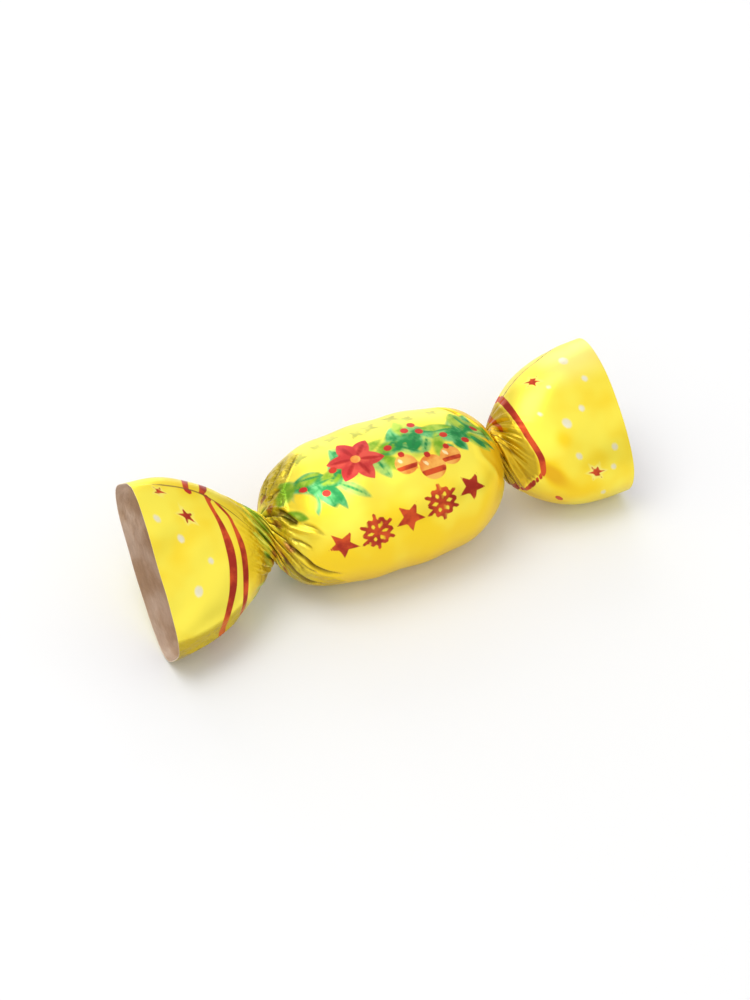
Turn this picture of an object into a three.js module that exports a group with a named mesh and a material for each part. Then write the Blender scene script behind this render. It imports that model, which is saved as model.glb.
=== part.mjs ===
// A twist-wrapped caramel sweet, lying on its side.
//
// One sheet of printed film is rolled round a soft oval caramel and twisted
// shut at both ends. Past each twist the film opens again into a flat fan whose
// mouth is open. The sweet rests on a small flat spot under its body.
//
// Axes: +X runs along the sweet, +Z is up, and the origin is the middle of the
// flat spot. Millimetres and degrees.

import * as THREE from 'three';

// ---------------------------------------------------------------- dimensions

const BODY_LENGTH = 27.4; // between the points where the rounded ends would close
const BODY_WIDTH = 17.0;
const BODY_HEIGHT = 14.8;
const BODY_OUTLINE = 2.9; // superellipse power of the outline seen from above
const BODY_ROUNDNESS = 2.3; // superellipse power of the cross-section
const FLAT_SPOT = 0.35; // how far the underside is pressed flat

const NECK_RADIUS = 2.6; // of the twisted film where it is tightest
const FILM = 0.45; // wall of the open fans
const FAN_ROLL = 42; // the flat fans lean this far from level, about X
const HOLLOW_ENDS = 0.16; // the hollow ends this far along the fan, from the neck

// Both twists turn the same way. Folds run round the axis at TWIST degrees per
// millimetre in the neck, and at SHOULDER_TWIST over the ends of the body.
const TWIST = 63;
const SHOULDER_TWIST = 8;
const SHOULDER_FROM = 7.0; // distance from the middle where the folds start to slant
const SHOULDER_FADE = 2.5; // length over which that slant sets in
const LOOSE_RADIUS = 7.6; // film this far from the axis is no longer turned

const PLEATS = 16; // folds gathered round each neck
const COLUMNS_PER_PLEAT = 6;
const ROWS = 42; // sections along the sweet
const HOLLOW_ROWS = 4; // sections along each hollow

// sign: which end; neck: where the twist is tightest; length: of the fan;
// wide, gap: half sizes of the mouth; power: squareness of the mouth;
// flare, opening: how fast the fan spreads and opens; neckRise, rise: the
// height of neck and mouth above the body's axis; forward: how far the mouth
// swings forward, or back if negative; slant: how much further out the lower
// corner stands; seed: of the pleats' stream of numbers. The lower corner of
// each mouth comes down to the surface that the body rests on.
const LEFT = {
  sign: -1, neck: 13.6, length: 14.6, wide: 9.9, gap: 4.8, power: 3.6,
  flare: 1.9, opening: 4.0, neckRise: -0.6, rise: 1.68, forward: 1.1, slant: 0.5,
  seed: 11,
};
const RIGHT = {
  sign: 1, neck: 13.8, length: 14.0, wide: 9.0, gap: 5.8, power: 2.2,
  flare: 3.0, opening: 5.2, neckRise: 0.65, rise: 0.48, forward: -0.7, slant: 0,
  seed: 5,
};

// Long creases that the left twist pulls into the body: pleat number, reach in
// millimetres along the body, and depth.
const LONG_CREASES = [
  { pleat: 7, reach: 2.9, depth: 0.95 },
  { pleat: 9, reach: 6.4, depth: 0.6 },
  { pleat: 11, reach: 4.4, depth: 0.6 },
];
const PLEAT_DEPTH = 0.5; // of a usual pleat, at the neck
const PLEAT_ONTO_BODY = [1.6, 3.6]; // shortest and longest reach
const PLEAT_ONTO_FAN = [2.6, 6.6]; // reach at the wide faces and at the narrow edges
const PLEATS_CHANGE_OVER = 12; // length round the middle where left pleats pass into right

// ------------------------------------------------------------------- helpers

const DEGREE = Math.PI / 180;
const clamp01 = (t) => Math.min(1, Math.max(0, t));
const smooth = (t) => clamp01(t) ** 2 * (3 - 2 * clamp01(t));
const mix = (from, to, t) => from + (to - from) * t;

/** A repeatable stream of numbers from 0 to 1. */
function randomStream(seed) {
  let state = seed;
  return () => {
    state = (state * 16807) % 2147483647;
    return state / 2147483647;
  };
}

// ------------------------------------------------- the sweet without its folds

const axisHeight = BODY_HEIGHT / 2 - FLAT_SPOT;
const endAt = (x) => (x < 0 ? LEFT : RIGHT);

/** Half sizes, squareness, roll and centre of the section at x. */
function sectionSizes(x) {
  const end = endAt(x);
  const out = Math.abs(x);
  if (out < end.neck) {
    const closing = Math.max(0, 1 - (out / (BODY_LENGTH / 2)) ** BODY_OUTLINE);
    const round = closing ** (1 / BODY_OUTLINE);
    const join = (half) => ((half * round) ** 5 + NECK_RADIUS ** 5) ** 0.2;
    return {
      wide: join(BODY_WIDTH / 2),
      thin: join(BODY_HEIGHT / 2),
      power: mix(BODY_ROUNDNESS, 2, smooth((out / end.neck - 0.8) / 0.2)),
      roll: 0,
      y: 0,
      z: axisHeight + end.neckRise * smooth((out / end.neck - 0.5) / 0.5),
    };
  }
  const t = clamp01((out - end.neck) / end.length);
  return {
    wide: mix(NECK_RADIUS, end.wide, 1 - (1 - t) ** end.flare),
    thin: mix(NECK_RADIUS, end.gap, 1 - (1 - t) ** end.opening),
    power: mix(2, end.power, smooth(t / 0.5)),
    roll: FAN_ROLL * DEGREE,
    y: -end.forward * t,
    z: axisHeight + mix(end.neckRise, end.rise, t),
  };
}

/** The closed outline of one section, as a curve in the YZ plane. */
class Section extends THREE.Curve {
  constructor(x) {
    super();
    this.sizes = sectionSizes(x);
  }

  getPoint(t, target = new THREE.Vector2()) {
    const { wide, thin, power, roll, y, z } = this.sizes;
    const angle = t * 2 * Math.PI - roll;
    const cos = Math.abs(Math.cos(angle)) ** power;
    const sin = Math.abs(Math.sin(angle)) ** power;
    const reach = (cos + sin) ** (-1 / power);
    const along = wide * reach * Math.cos(angle);
    const across = thin * reach * Math.sin(angle);
    return target.set(
      y + along * Math.cos(roll) - across * Math.sin(roll),
      z + along * Math.sin(roll) + across * Math.cos(roll),
    );
  }
}

// ---------------------------------------------------------- twist and pleats

/** Degrees per millimetre that the folds turn round the axis at x. */
function twistRate(x) {
  const { wide, thin } = sectionSizes(x);
  const held = (NECK_RADIUS / LOOSE_RADIUS) ** 2;
  const gathered = Math.max(0, NECK_RADIUS ** 2 / (wide * thin) - held) / (1 - held);
  const onBody = Math.abs(x) < endAt(x).neck;
  const shoulder = onBody ? smooth((Math.abs(x) - SHOULDER_FROM) / SHOULDER_FADE) : 0;
  return TWIST * gathered + SHOULDER_TWIST * shoulder;
}

/** Turns of the folds between the middle of the body and x. */
function turnsTo(x) {
  const steps = 240;
  let degrees = 0;
  for (let i = 0; i < steps; i++) {
    degrees += (twistRate((x * (i + 0.5)) / steps) * x) / steps;
  }
  return degrees / 360;
}

/** The pleats round one neck: where each valley lies, how deep and how long. */
function gatherPleats(end) {
  const random = randomStream(end.seed);
  const turnOut = turnsTo(end.sign * (end.neck + 3)) * 360;
  const pleats = Array.from({ length: PLEATS }, (_, index) => {
    const angle = (360 * index) / PLEATS + turnOut - FAN_ROLL;
    const atNarrowEdge = Math.cos(angle * DEGREE) ** 2;
    return {
      place: (index + 0.34 * (random() - 0.5)) / PLEATS,
      depth: PLEAT_DEPTH * mix(0.7, 1.25, random()),
      ontoBody: mix(...PLEAT_ONTO_BODY, random()),
      ontoFan: mix(...PLEAT_ONTO_FAN, atNarrowEdge) * mix(0.8, 1.15, random()),
    };
  });
  if (end === LEFT) {
    for (const { pleat, reach, depth } of LONG_CREASES) {
      pleats[pleat].ontoBody = reach;
      pleats[pleat].depth = depth;
      pleats[pleat].place = pleat / PLEATS;
    }
  }
  return pleats;
}

const pleatsOf = new Map([LEFT, RIGHT].map((end) => [end, gatherPleats(end)]));

/** A pleat is as deep at the neck as anywhere, and fades to nothing at its reach. */
const fade = (part) => (part >= 1 ? 0 : (1 - part) ** 1.5 * (1 + 2.4 * part));

/** The valley's shape across one pleat: a long side and a steep one. */
function valley(part) {
  if (part < 0.5) return (1 - part / 0.5) ** 1.4;
  return Math.max(0, (part - 0.7) / 0.3) ** 1.2;
}

/** Where a column of points stands round the section, as a part of the whole. */
function columnPlace(column, x) {
  const pleat = Math.floor(column / COLUMNS_PER_PLEAT);
  const part = (column % COLUMNS_PER_PLEAT) / COLUMNS_PER_PLEAT;
  const between = (end) => {
    const pleats = pleatsOf.get(end);
    const next = pleats[(pleat + 1) % PLEATS].place + (pleat + 1 === PLEATS ? 1 : 0);
    return mix(pleats[pleat].place, next, part);
  };
  return mix(between(LEFT), between(RIGHT), smooth(x / PLEATS_CHANGE_OVER + 0.5));
}

/** How deep the surface lies below the smooth section, at a column and x. */
function pleatDepth(column, x) {
  const end = endAt(x);
  const pleats = pleatsOf.get(end);
  const pleat = Math.floor(column / COLUMNS_PER_PLEAT);
  const part = (column % COLUMNS_PER_PLEAT) / COLUMNS_PER_PLEAT;
  const out = Math.abs(x) - end.neck;
  const at = ({ depth, ontoBody, ontoFan }) =>
    depth * (out < 0 ? fade(-out / ontoBody) : fade(out / ontoFan));
  const nearer = part < 0.5 ? pleats[pleat] : pleats[(pleat + 1) % PLEATS];
  return at(nearer) * valley(part);
}

// ------------------------------------------------------------------ the rings

const COLUMNS = PLEATS * COLUMNS_PER_PLEAT;

/**
 * One ring of points at x. A hollow's ring lies a wall inside the outer skin,
 * and is drawn in towards the middle by a part of its size.
 */
function ring(x, wall = 0, drawnIn = 0) {
  const section = new Section(x);
  const turns = turnsTo(x);
  const { y, z } = section.sizes;
  const end = endAt(x);
  const openness = clamp01((Math.abs(x) - end.neck) / end.length);
  const points = [];
  for (let column = 0; column < COLUMNS; column++) {
    const place = columnPlace(column, x) + turns;
    const round = THREE.MathUtils.euclideanModulo(place, 1);
    const point = section.getPointAt(round);
    const tangent = section.getTangentAt(round);
    const inward = pleatDepth(column, x) + wall;
    const pointY = mix(point.x - tangent.y * inward, y, drawnIn);
    const pointZ = mix(point.y + tangent.x * inward, z, drawnIn);
    const slant = (end.slant * openness * (z - pointZ)) / end.wide;
    points.push(new THREE.Vector3(x + end.sign * slant, pointY, Math.max(0, pointZ)));
  }
  return points;
}

/** Places of the rings along X, close at the necks and the body's shoulders. */
function ringPlaces() {
  const from = -(LEFT.neck + LEFT.length);
  const to = RIGHT.neck + RIGHT.length;
  const samples = 2000;
  const crowd = (x) => {
    const out = Math.abs(x) - endAt(x).neck;
    const atNeck = 5 * Math.exp(-((out / 1.5) ** 2));
    const atShoulder = 1.6 * Math.exp(-(((out + 3.4) / 2.2) ** 2));
    const onFan = out > 0 ? 0.35 : 0;
    return 0.65 + atNeck + atShoulder + onFan;
  };
  const total = [0];
  for (let i = 0; i < samples; i++) {
    total.push(total[i] + crowd(mix(from, to, (i + 0.5) / samples)));
  }
  const places = [];
  for (let row = 0, i = 0; row <= ROWS; row++) {
    while (i < samples && total[i] < (total[samples] * row) / ROWS) i++;
    places.push(mix(from, to, i / samples));
  }
  return places;
}

/** Rings of a fan's hollow, from its mouth towards the point where it closes. */
function hollowRings(end) {
  const rings = [];
  for (let row = 0; row < HOLLOW_ROWS; row++) {
    const t = row / HOLLOW_ROWS;
    const x = end.sign * (end.neck + end.length * mix(1, HOLLOW_ENDS, t));
    rings.push(ring(x, FILM, 1 - Math.sqrt(1 - t ** 2.2)));
  }
  return rings;
}

/** The closed skin: hollow of one fan, outside, hollow of the other. */
function wrapperGeometry() {
  const outside = ringPlaces().map((x) => ring(x));
  const rings = [
    ...hollowRings(LEFT).reverse(),
    ...outside,
    ...hollowRings(RIGHT),
  ];
  const tipOf = (end) => {
    const x = end.sign * (end.neck + end.length * HOLLOW_ENDS);
    const { y, z } = sectionSizes(x);
    return new THREE.Vector3(x, y, z);
  };
  const points = [...rings.flat(), tipOf(LEFT), tipOf(RIGHT)];
  const index = [];
  const at = (row, column) => row * COLUMNS + (column % COLUMNS);
  for (let row = 0; row + 1 < rings.length; row++) {
    for (let column = 0; column < COLUMNS; column++) {
      const a = at(row, column);
      const b = at(row, column + 1);
      const c = at(row + 1, column + 1);
      const d = at(row + 1, column);
      index.push(a, b, c, a, c, d);
    }
  }
  const leftTip = points.length - 2;
  const rightTip = points.length - 1;
  const last = rings.length - 1;
  for (let column = 0; column < COLUMNS; column++) {
    index.push(leftTip, at(0, column + 1), at(0, column));
    index.push(rightTip, at(last, column), at(last, column + 1));
  }
  const geometry = new THREE.BufferGeometry();
  geometry.setFromPoints(points);
  geometry.setIndex(index);
  geometry.computeVertexNormals();
  return geometry;
}

// ------------------------------------------------------------------ the model

const printedFilm = new THREE.MeshStandardMaterial({
  color: 0xf2cf2e,
  roughness: 0.3,
  metalness: 0.4,
});

const wrappedCaramel = new THREE.Mesh(wrapperGeometry(), printedFilm);
wrappedCaramel.name = 'wrapped_caramel';

const sweet = new THREE.Group();
sweet.add(wrappedCaramel);

export default sweet;
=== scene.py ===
"""A twist-wrapped caramel sweet, lying on a pale table.

The script follows the sweet as it is wrapped: the camera, the film round the
caramel, its twists and fans, its print, its finish, and then table and light.
"""

import math

import bpy
import numpy as np
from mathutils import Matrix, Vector


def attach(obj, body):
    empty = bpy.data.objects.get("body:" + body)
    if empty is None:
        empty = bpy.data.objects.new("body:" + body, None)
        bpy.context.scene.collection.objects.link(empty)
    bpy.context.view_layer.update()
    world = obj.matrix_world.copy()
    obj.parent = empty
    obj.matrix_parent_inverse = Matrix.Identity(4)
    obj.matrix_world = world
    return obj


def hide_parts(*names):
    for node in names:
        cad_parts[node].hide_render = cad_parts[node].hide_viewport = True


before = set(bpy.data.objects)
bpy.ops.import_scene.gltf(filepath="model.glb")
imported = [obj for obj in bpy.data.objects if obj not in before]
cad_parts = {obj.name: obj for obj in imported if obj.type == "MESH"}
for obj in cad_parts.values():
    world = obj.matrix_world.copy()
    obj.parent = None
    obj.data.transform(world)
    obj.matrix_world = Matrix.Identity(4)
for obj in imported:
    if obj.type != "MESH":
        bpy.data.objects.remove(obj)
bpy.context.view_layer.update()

# ---------------------------------------------------------------------- camera
# A long lens looks down at the sweet from its left front, so that the left fan
# is nearer and shows a sliver of its inside.

MM = 0.001
VIEW_AZIMUTH = math.radians(-25.2)
VIEW_ELEVATION = math.radians(45.0)
VIEW_DISTANCE = 350.0 * MM
SENSOR_WIDTH = 36.0  # covers the picture's longer side
IMAGE_WIDTH, IMAGE_HEIGHT = 750, 1000
PIXEL = 0.11 * MM  # what one pixel covers at the middle of the sweet
SWEET_AT = (381.2, 493.0)  # pixel where the middle of the sweet stands
MIDDLE = Vector((0.0, 0.0, 7.5 * MM))

view_back = Vector((
    math.sin(VIEW_AZIMUTH) * math.cos(VIEW_ELEVATION),
    -math.cos(VIEW_AZIMUTH) * math.cos(VIEW_ELEVATION),
    math.sin(VIEW_ELEVATION),
))
camera_data = bpy.data.cameras.new("camera")
camera_data.sensor_width = SENSOR_WIDTH
camera_data.lens = SENSOR_WIDTH * VIEW_DISTANCE / (IMAGE_HEIGHT * PIXEL)
camera_data.shift_x = (IMAGE_WIDTH / 2 - SWEET_AT[0]) / IMAGE_HEIGHT
camera_data.shift_y = (SWEET_AT[1] - IMAGE_HEIGHT / 2) / IMAGE_HEIGHT
camera_data.clip_start = 0.01
camera_data.clip_end = 10.0
camera = bpy.data.objects.new("camera", camera_data)
bpy.context.scene.collection.objects.link(camera)
camera.location = MIDDLE + view_back * VIEW_DISTANCE
camera.rotation_mode = "QUATERNION"
camera.rotation_quaternion = (-view_back).to_track_quat("-Z", "Y")
bpy.context.scene.camera = camera

# ------------------------------------------------------------ form of the film
# One sheet of printed film lies round a soft oval caramel. Past the caramel it
# is gathered into a tight twist, and past that it opens into a flat fan. Sizes
# are in millimetres and, but for the thinner film, the same as in the solid
# that this piece replaces.

BODY_LENGTH, BODY_WIDTH, BODY_HEIGHT = 27.4, 17.0, 14.8
BODY_OUTLINE = 2.9  # superellipse power of the outline seen from above
BODY_ROUNDNESS = 2.3  # superellipse power of the cross-section
FLAT_SPOT = 0.35  # how far the underside is pressed flat
NECK_RADIUS = 2.6
NECK_BLEND = 5  # power that blends the body's half sizes into the neck's radius
FAN_ROLL = math.radians(42)
HOLLOW_ENDS = 0.16  # the hollow ends this far along the fan, from the neck
FILM = 0.09

# Each end has its neck at this x and then a fan of this length. The fan's mouth
# has a half width, a half gap and a superellipse power. Flare and opening say how
# fast both grow, neck_rise lifts the neck, rise and forward move the mouth, slant
# shears its rim, and the seed picks the pleats.
LEFT = dict(
    sign=-1, neck=13.6, length=14.6, wide=9.9, gap=4.8, power=3.6,
    flare=1.9, opening=4.0, neck_rise=-0.6, rise=1.68, forward=1.1, slant=0.5, seed=11,
)
RIGHT = dict(
    sign=1, neck=13.8, length=14.0, wide=9.0, gap=5.8, power=2.2,
    flare=3.0, opening=5.2, neck_rise=0.65, rise=0.48, forward=-0.7, slant=0.0, seed=5,
)
AXIS_HEIGHT = BODY_HEIGHT / 2 - FLAT_SPOT


def smooth(t):
    """Cubic step: 3t^2 - 2t^3 with t held between 0 and 1."""
    t = np.clip(t, 0, 1)
    return t * t * (3 - 2 * t)


def mix(low, high, t):
    """low + (high - low) t."""
    return low + (high - low) * t


def end_value(x, key):
    """A size of the left end where x is negative, else of the right one."""
    return np.where(x < 0, LEFT[key], RIGHT[key])


def section_sizes(x):
    """Half width, half thickness, power, roll and centre of the section at x.

    On the body the half sizes follow a superellipse along x and blend into the
    neck's radius; on a fan they grow as 1 - (1 - t)^n along it. "open" is that
    t: 0 up to the neck and 1 at the rim.
    """
    out = np.abs(x)
    neck, length = end_value(x, "neck"), end_value(x, "length")
    on_body = out < neck
    closing = np.clip(1 - (out / (BODY_LENGTH / 2)) ** BODY_OUTLINE, 0, 1)
    oval = closing ** (1 / BODY_OUTLINE)
    body_wide, body_thin = (
        ((size / 2 * oval) ** NECK_BLEND + NECK_RADIUS ** NECK_BLEND) ** (1 / NECK_BLEND)
        for size in (BODY_WIDTH, BODY_HEIGHT)
    )
    t = np.clip((out - neck) / length, 0, 1)
    fan_wide = mix(NECK_RADIUS, end_value(x, "wide"), 1 - (1 - t) ** end_value(x, "flare"))
    fan_thin = mix(NECK_RADIUS, end_value(x, "gap"), 1 - (1 - t) ** end_value(x, "opening"))
    body_power = mix(BODY_ROUNDNESS, 2, smooth((out / neck - 0.8) / 0.2))
    fan_power = mix(2, end_value(x, "power"), smooth(t / 0.5))
    neck_rise, rise = end_value(x, "neck_rise"), end_value(x, "rise")
    centre_z = np.where(
        on_body, neck_rise * smooth((out / neck - 0.5) / 0.5), mix(neck_rise, rise, t)
    )
    return dict(
        wide=np.where(on_body, body_wide, fan_wide),
        thin=np.where(on_body, body_thin, fan_thin),
        power=np.where(on_body, body_power, fan_power),
        roll=np.where(on_body, 0.0, FAN_ROLL),
        y=np.where(on_body, 0.0, -end_value(x, "forward") * t),
        z=AXIS_HEIGHT + centre_z,
        open=t,
    )


def outline(sizes, angle):
    """Point of the section in the direction angle - roll, before its centre is added.

    A superellipse in polar form: 1 / (|cos|^n + |sin|^n)^(1/n), scaled by the
    half sizes and turned by the roll.
    """
    n = sizes["power"]
    a = angle - sizes["roll"]
    reach = (np.abs(np.cos(a)) ** n + np.abs(np.sin(a)) ** n) ** (-1 / n)
    along = sizes["wide"] * reach * np.cos(a)
    across = sizes["thin"] * reach * np.sin(a)
    cos, sin = np.cos(sizes["roll"]), np.sin(sizes["roll"])
    return along * cos - across * sin, along * sin + across * cos


def angles_of(sizes, place):
    """Angle on each section where the given part of its girth has been passed."""
    fine = np.linspace(0, 2 * np.pi, 721)[None, :]  # every half degree
    y, z = outline(sizes, fine)
    steps = np.hypot(np.diff(y, axis=1), np.diff(z, axis=1))
    girth = np.concatenate([np.zeros((len(y), 1)), np.cumsum(steps, axis=1)], axis=1)
    passed = girth / girth[:, -1:]
    return np.array([np.interp(wanted % 1, part, fine[0]) for wanted, part in zip(place, passed)])


# --------------------------------------------------------- twists and pleats
# Both ends are twisted the same way round. The spare girth lies in pleats that
# wind round the neck, run out over the fan and a little way on to the body.

TWIST = 63.0  # degrees per millimetre in the neck
SHOULDER_TWIST = 8.0  # and over the ends of the body
SHOULDER_FROM = 7.0  # x, either way, where those ends begin
SHOULDER_RISES = 2.5  # length over which their twist sets in
LOOSE_RADIUS = 7.6  # film further out than this isn't twisted
PLEATS = 16
PLEAT_DEPTH = 0.5
PLEAT_DEPTHS = (0.55, 1.35)  # least and greatest share of that depth
PLEAT_STRAYS = 0.34  # how much the pleats' places vary, in pleats
COLUMNS = 384
ROWS = 218
HOLLOW_ROWS = 14
RIM_STEP = 0.03  # a last short step keeps the shading crisp at the rims
LONG_CREASES = {7: (1.9, 0.8), 9: (1.6, 0.5), 11: (1.6, 0.5)}  # left pleat: reach on the body, depth
ONTO_BODY = {-1: (0.9, 1.9), 1: (0.7, 1.6)}  # least and greatest reach past each neck
ONTO_FAN = {-1: (2.6, 5.6), 1: (2.0, 3.6)}
ONTO_FAN_VARIES = (0.8, 1.15)
FAN_SETTLES = 3.0  # past the neck, where the way each pleat faces on the fan is taken


def turns_along(x, shoulder_twist):
    """Turns between the middle and each x: the rate's running sum from x = 0.

    The rate is TWIST times (neck radius / radius)^2, less what the loose film
    keeps, plus a constant over the body's shoulders.
    """
    fine = np.linspace(-30, 30, 12001)
    sizes = section_sizes(fine)
    held = (NECK_RADIUS / LOOSE_RADIUS) ** 2
    gathered = NECK_RADIUS ** 2 / (sizes["wide"] * sizes["thin"])
    rate = TWIST * np.maximum(gathered - held, 0) / (1 - held)
    on_body = np.abs(fine) < end_value(fine, "neck")
    rate = rate + shoulder_twist * on_body * smooth((np.abs(fine) - SHOULDER_FROM) / SHOULDER_RISES)
    total = np.concatenate([[0], np.cumsum((rate[1:] + rate[:-1]) / 2 * np.diff(fine))])
    total -= np.interp(0, fine, total)
    return np.interp(x, fine, total) / 360


def number_stream(seed):
    """A repeatable stream of numbers from 0 to 1."""
    state = seed
    while True:
        state = (state * 16807) % 2147483647
        yield state / 2147483647


def gather_pleats(end):
    """Place, depth and reaches of the pleats round one neck, as arrays.

    On the fan, the pleats that run to its narrow edges reach furthest.
    """
    numbers = number_stream(end["seed"])
    turn_out = turns_along(end["sign"] * (end["neck"] + FAN_SETTLES), SHOULDER_TWIST) * 2 * math.pi
    pleats = []
    for index in range(PLEATS):
        angle = 2 * math.pi * index / PLEATS + turn_out - FAN_ROLL
        place = (index + PLEAT_STRAYS * (next(numbers) - 0.5)) / PLEATS
        depth = PLEAT_DEPTH * mix(*PLEAT_DEPTHS, next(numbers))
        onto_body = mix(*ONTO_BODY[end["sign"]], next(numbers))
        onto_fan = mix(*ONTO_FAN[end["sign"]], math.cos(angle) ** 2)
        onto_fan = onto_fan * mix(*ONTO_FAN_VARIES, next(numbers))
        if end is LEFT and index in LONG_CREASES:
            onto_body, depth = LONG_CREASES[index]
            place = index / PLEATS
        pleats.append((place, depth, onto_body, onto_fan))
    return np.array(pleats).T


def fade(part):
    """1 at the neck and 0 at the pleat's reach: (1 - p)^1.5 (1 + 2.4 p)."""
    part = np.clip(part, 0, 1)
    return (1 - part) ** 1.5 * (1 + 2.4 * part)


def valley(part):
    """Depth across one pleat: a long side up to 0.5 and a steep one from 0.7."""
    long_side = np.clip(1 - part / 0.5, 0, 1) ** 1.7
    steep_side = np.clip((part - 0.7) / 0.3, 0, 1) ** 1.2
    return np.where(part < 0.5, long_side, steep_side)


pleats_of = {-1: gather_pleats(LEFT), 1: gather_pleats(RIGHT)}
column_pleat = np.arange(COLUMNS) * PLEATS / COLUMNS
pleat_before = np.floor(column_pleat).astype(int)
past_pleat = column_pleat - pleat_before


def column_place(x):
    """Part of the girth where each column stands, between the two necks' pleats."""
    places = []
    for side in (-1, 1):
        place = np.append(pleats_of[side][0], pleats_of[side][0][0] + 1)
        places.append(mix(place[pleat_before], place[pleat_before + 1], past_pleat))
    to_right = smooth(x / 12 + 0.5)
    return mix(places[0][None, :], places[1][None, :], to_right)


def pleat_relief(x):
    """How far the film lies below the smooth section, by row and column."""
    nearer = np.where(past_pleat < 0.5, pleat_before, (pleat_before + 1) % PLEATS)
    out = np.abs(x) - end_value(x, "neck")
    depths = {}
    for side in (-1, 1):
        _, depth, onto_body, onto_fan = (row[nearer][None, :] for row in pleats_of[side])
        depths[side] = depth * np.where(out < 0, fade(-out / onto_body), fade(out / onto_fan))
    return np.where(x < 0, depths[-1], depths[1]) * valley(past_pleat)[None, :]


def facing(place, centre, power):
    """1 at one place of the girth and 0 opposite: ((1 + cos) / 2)^power."""
    return ((1 + np.cos(2 * np.pi * (place - centre))) / 2) ** power


def place_on_film(x, degrees):
    """Point of the smooth form at x, in the direction of so many degrees from the back."""
    sizes = section_sizes(np.array([x]))
    y, z = outline(sizes, np.radians(degrees))
    return np.array([x, float(y[0] + sizes["y"][0]), float(z[0] + sizes["z"][0])])


def reach_line(points, places):
    """Distance of each point to a line of places, and how far along that line it is."""
    line = np.array([place_on_film(x, degrees) for x, degrees in places])
    nearest = np.full(points.shape[:2], 1e3)
    along = np.zeros(points.shape[:2])
    for index, (start, end) in enumerate(zip(line[:-1], line[1:])):
        step = end - start
        part = np.clip((points - start) @ step / (step @ step), 0, 1)
        distance = np.linalg.norm(points - start - part[..., None] * step, axis=-1)
        along = np.where(distance < nearest, (index + part) / (len(line) - 1), along)
        nearest = np.minimum(distance, nearest)
    return nearest, along


FINE_FOLDS = ((29, 0.07, 0.4), (43, 0.05, 1.7))  # how many round the girth, height and phase


def fine_folds(x, place):
    """Small folds between the pleats, as a height in millimetres.

    Ridged waves, 1 - 2|sin|, of whole numbers round the girth, that fade with
    the distance from the neck as exp(-(d / reach)^2). On the left end of the
    body they reach furthest at the upper back.
    """
    out = np.abs(x) - end_value(x, "neck")
    left_reach = np.where(out < 0, 1.2 + 1.6 * facing(place, 0.12, 6), 3.4)
    right_reach = np.where(out < 0, 0.9, 1.9)
    envelope = np.exp(-((out / np.where(x < 0, left_reach, right_reach)) ** 2))
    envelope = envelope * np.where((x < 0) & (out > 0), 0.45, 1.0)
    turn = 2 * np.pi * np.arange(COLUMNS)[None, :] / COLUMNS
    height = 0
    for count, size, phase in FINE_FOLDS:
        wave = np.abs(np.sin(count * turn / 2 + phase * (1 + 0.4 * np.sign(x))))
        height = height + size * (1 - 2 * wave)
    return height * envelope


def soft_dents(x, place):
    """Slow waves of the loose film, in millimetres: sums and products of sines along and round."""
    turn = 2 * np.pi * place
    body = 0.07 * np.sin(0.62 * x + 1.1 + 2 * np.sin(turn)) * np.sin(2 * turn + 0.3 * x)
    body = body + 0.04 * np.sin(1.15 * x + 3 * turn + 0.5)
    fan = 0.13 * np.sin(3 * turn + 0.35 * x + 1.0) + 0.08 * np.sin(5 * turn - 0.5 * x)
    fan = fan + 0.05 * np.sin(9 * turn + 0.8 * x + 2.0)
    fan = fan * np.where(x < 0, 1.0, 0.35)
    on_body = smooth((end_value(x, "neck") - np.abs(x)) / 4)
    on_fan = smooth(section_sizes(x)["open"] / 0.5)
    return body * on_body + fan * on_fan


def row_places():
    """Places of the rows along x, close at the necks and the shoulders."""
    left_rim, right_rim = -(LEFT["neck"] + LEFT["length"]), RIGHT["neck"] + RIGHT["length"]
    fine = np.linspace(left_rim, right_rim, 6001)
    out = np.abs(fine) - end_value(fine, "neck")
    crowd = 1 + 2.4 * np.exp(-((out / 1.5) ** 2)) + 0.5 * np.exp(-(((out + 3.4) / 2.4) ** 2))
    total = np.concatenate([[0], np.cumsum((crowd[1:] + crowd[:-1]) / 2)])
    places = np.interp(np.linspace(0, total[-1], ROWS - 2), total, fine)
    return np.sort(np.append(places, [left_rim + RIM_STEP, right_rim - RIM_STEP]))


# x and degrees from the back, along the ridge that the twist pulls over the right neck
NECK_RIDGE = ((14.05, 64), (13.97, 102), (14.2, 135), (14.5, 165), (15.2, 187), (16.1, 214))
# x, and the v where the sheet's overlapping edge lies
LAP_LINE = (
    (-28, 20.0), (-20, 19.1), (-14, 19.6), (14, 26.4), (16.4, 25.0), (16.8, 24.65), (17.65, 23.8),
    (18.85, 23.1), (20.15, 22.6), (21.5, 22.2), (23, 21.3), (25, 19.6), (28, 16.7),
)
GIRTH = 51.0
V_FROM = 0.30  # part of the girth where the sheet's own v is zero
LAP_STEP = 0.12
LAP_STEP_FADES = 4.0
RIDGE_PULLS = 0.9  # how far from the neck's ridge the pleats are pulled flat


def v_on_sheet(x, place):
    """The sheet's own v, in millimetres: the part of the girth, with the necks' twist undone."""
    return (place - turns_along(x, 0.0) - V_FROM) * GIRTH


def past_lap(x, place):
    """Millimetres round the sheet from its overlapping edge, on the side of the inner layer."""
    return (np.interp(x, *zip(*LAP_LINE)) - v_on_sheet(x, place)) % GIRTH


def lap_step(x, place):
    """Height beside the overlapping edge: a step down that rises again over a few millimetres."""
    clear_of_neck = smooth((np.abs(np.abs(x) - end_value(x, "neck")) - 1.5) / 2)
    return -LAP_STEP * np.exp(-past_lap(x, place) / LAP_STEP_FADES) * clear_of_neck


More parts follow.
